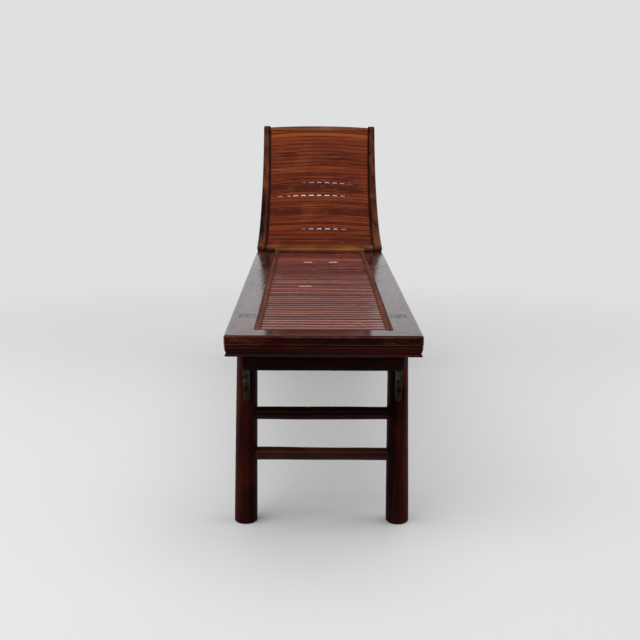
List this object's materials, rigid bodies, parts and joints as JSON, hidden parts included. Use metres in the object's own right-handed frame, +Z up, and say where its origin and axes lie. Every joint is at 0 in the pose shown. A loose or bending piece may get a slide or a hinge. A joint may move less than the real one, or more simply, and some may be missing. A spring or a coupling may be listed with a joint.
{
  "type": "bamboo folding recliner",
  "caption": "Long narrow bench with a split-bamboo seat and a curved, hinged bamboo back held up by a swinging stay that stands in notched racks.",
  "frame": {"origin": "on the floor, under the middle of the overall box", "axes": "+X across the seat, to the right as seen from the foot end; +Y from the foot end to the head end; +Z up"},
  "size_m": [0.335, 1.425, 0.7173],
  "materials": {
    "lacquered_frame": "glossy dark red-brown lacquer, worn at the edges",
    "lacquered_leg": "glossy dark red-brown lacquer",
    "back_frame": "glossy brown lacquer, worn",
    "honey_rail": "worn honey-coloured varnish",
    "batten": "satin brown varnish",
    "seat_bamboo": "red-brown varnished split bamboo",
    "back_bamboo": "glossy red-brown varnished split bamboo",
    "strip_bamboo": "brown split bamboo",
    "stay_wood": "satin dark brown wood",
    "hinge_iron": "dark worn iron"
  },
  "bodies": {
    "bench": {"apron_left": "lacquered_frame", "apron_right": "lacquered_frame", "batten_left": "batten", "batten_right": "batten", "bearer_front": "lacquered_frame", "bearer_middle": "lacquered_frame", "bearer_rear": "lacquered_frame", "end_apron_front": "lacquered_frame", "end_apron_rear": "lacquered_frame", "end_rail_front": "lacquered_frame", "end_rail_rear": "lacquered_frame", "hinge_pin_left": "hinge_iron", "hinge_pin_right": "hinge_iron", "hinge_rail": "lacquered_frame", "leg_front_left": "lacquered_leg", "leg_front_right": "lacquered_leg", "leg_rear_left": "lacquered_leg", "leg_rear_right": "lacquered_leg", "rack_left": "stay_wood", "rack_right": "stay_wood", "rail_left": "lacquered_frame", "rail_right": "lacquered_frame", "seat_hinge_leaf_left": "hinge_iron", "seat_hinge_leaf_right": "hinge_iron", "seat_slats": "seat_bamboo", "stretcher_front_lower": "lacquered_leg", "stretcher_front_upper": "lacquered_leg", "stretcher_rear_lower": "lacquered_leg", "stretcher_rear_upper": "lacquered_leg"},
    "backrest": {"back_bottom_rail": "honey_rail", "back_cross_bar_lower": "back_frame", "back_cross_bar_upper": "back_frame", "back_hinge_leaf_left": "hinge_iron", "back_hinge_leaf_right": "hinge_iron", "back_rail_left": "back_frame", "back_rail_right": "back_frame", "back_slats": "back_bamboo", "back_strips": "strip_bamboo", "crest_rail": "back_frame", "stay_rod": "stay_wood", "stay_rod_pegs": "stay_wood"},
    "stay": {"stay_arm_left": "stay_wood", "stay_arm_right": "stay_wood", "stay_foot_bar": "stay_wood", "stay_brace": "stay_wood"}
  },
  "joints": [
    {"name": "backrest_tilt", "type": "hinge", "parent": "bench", "child": "backrest", "pos_m": [0, 0.27248, 0.397], "axis": [1, 0, 0], "range_deg": [0, 142]},
    {"name": "stay_swing", "type": "hinge", "parent": "backrest", "child": "stay", "pos_m": [0, 0.56329, 0.50662], "axis": [-1, 0, 0], "range_deg": [0, 60]}
  ]
}
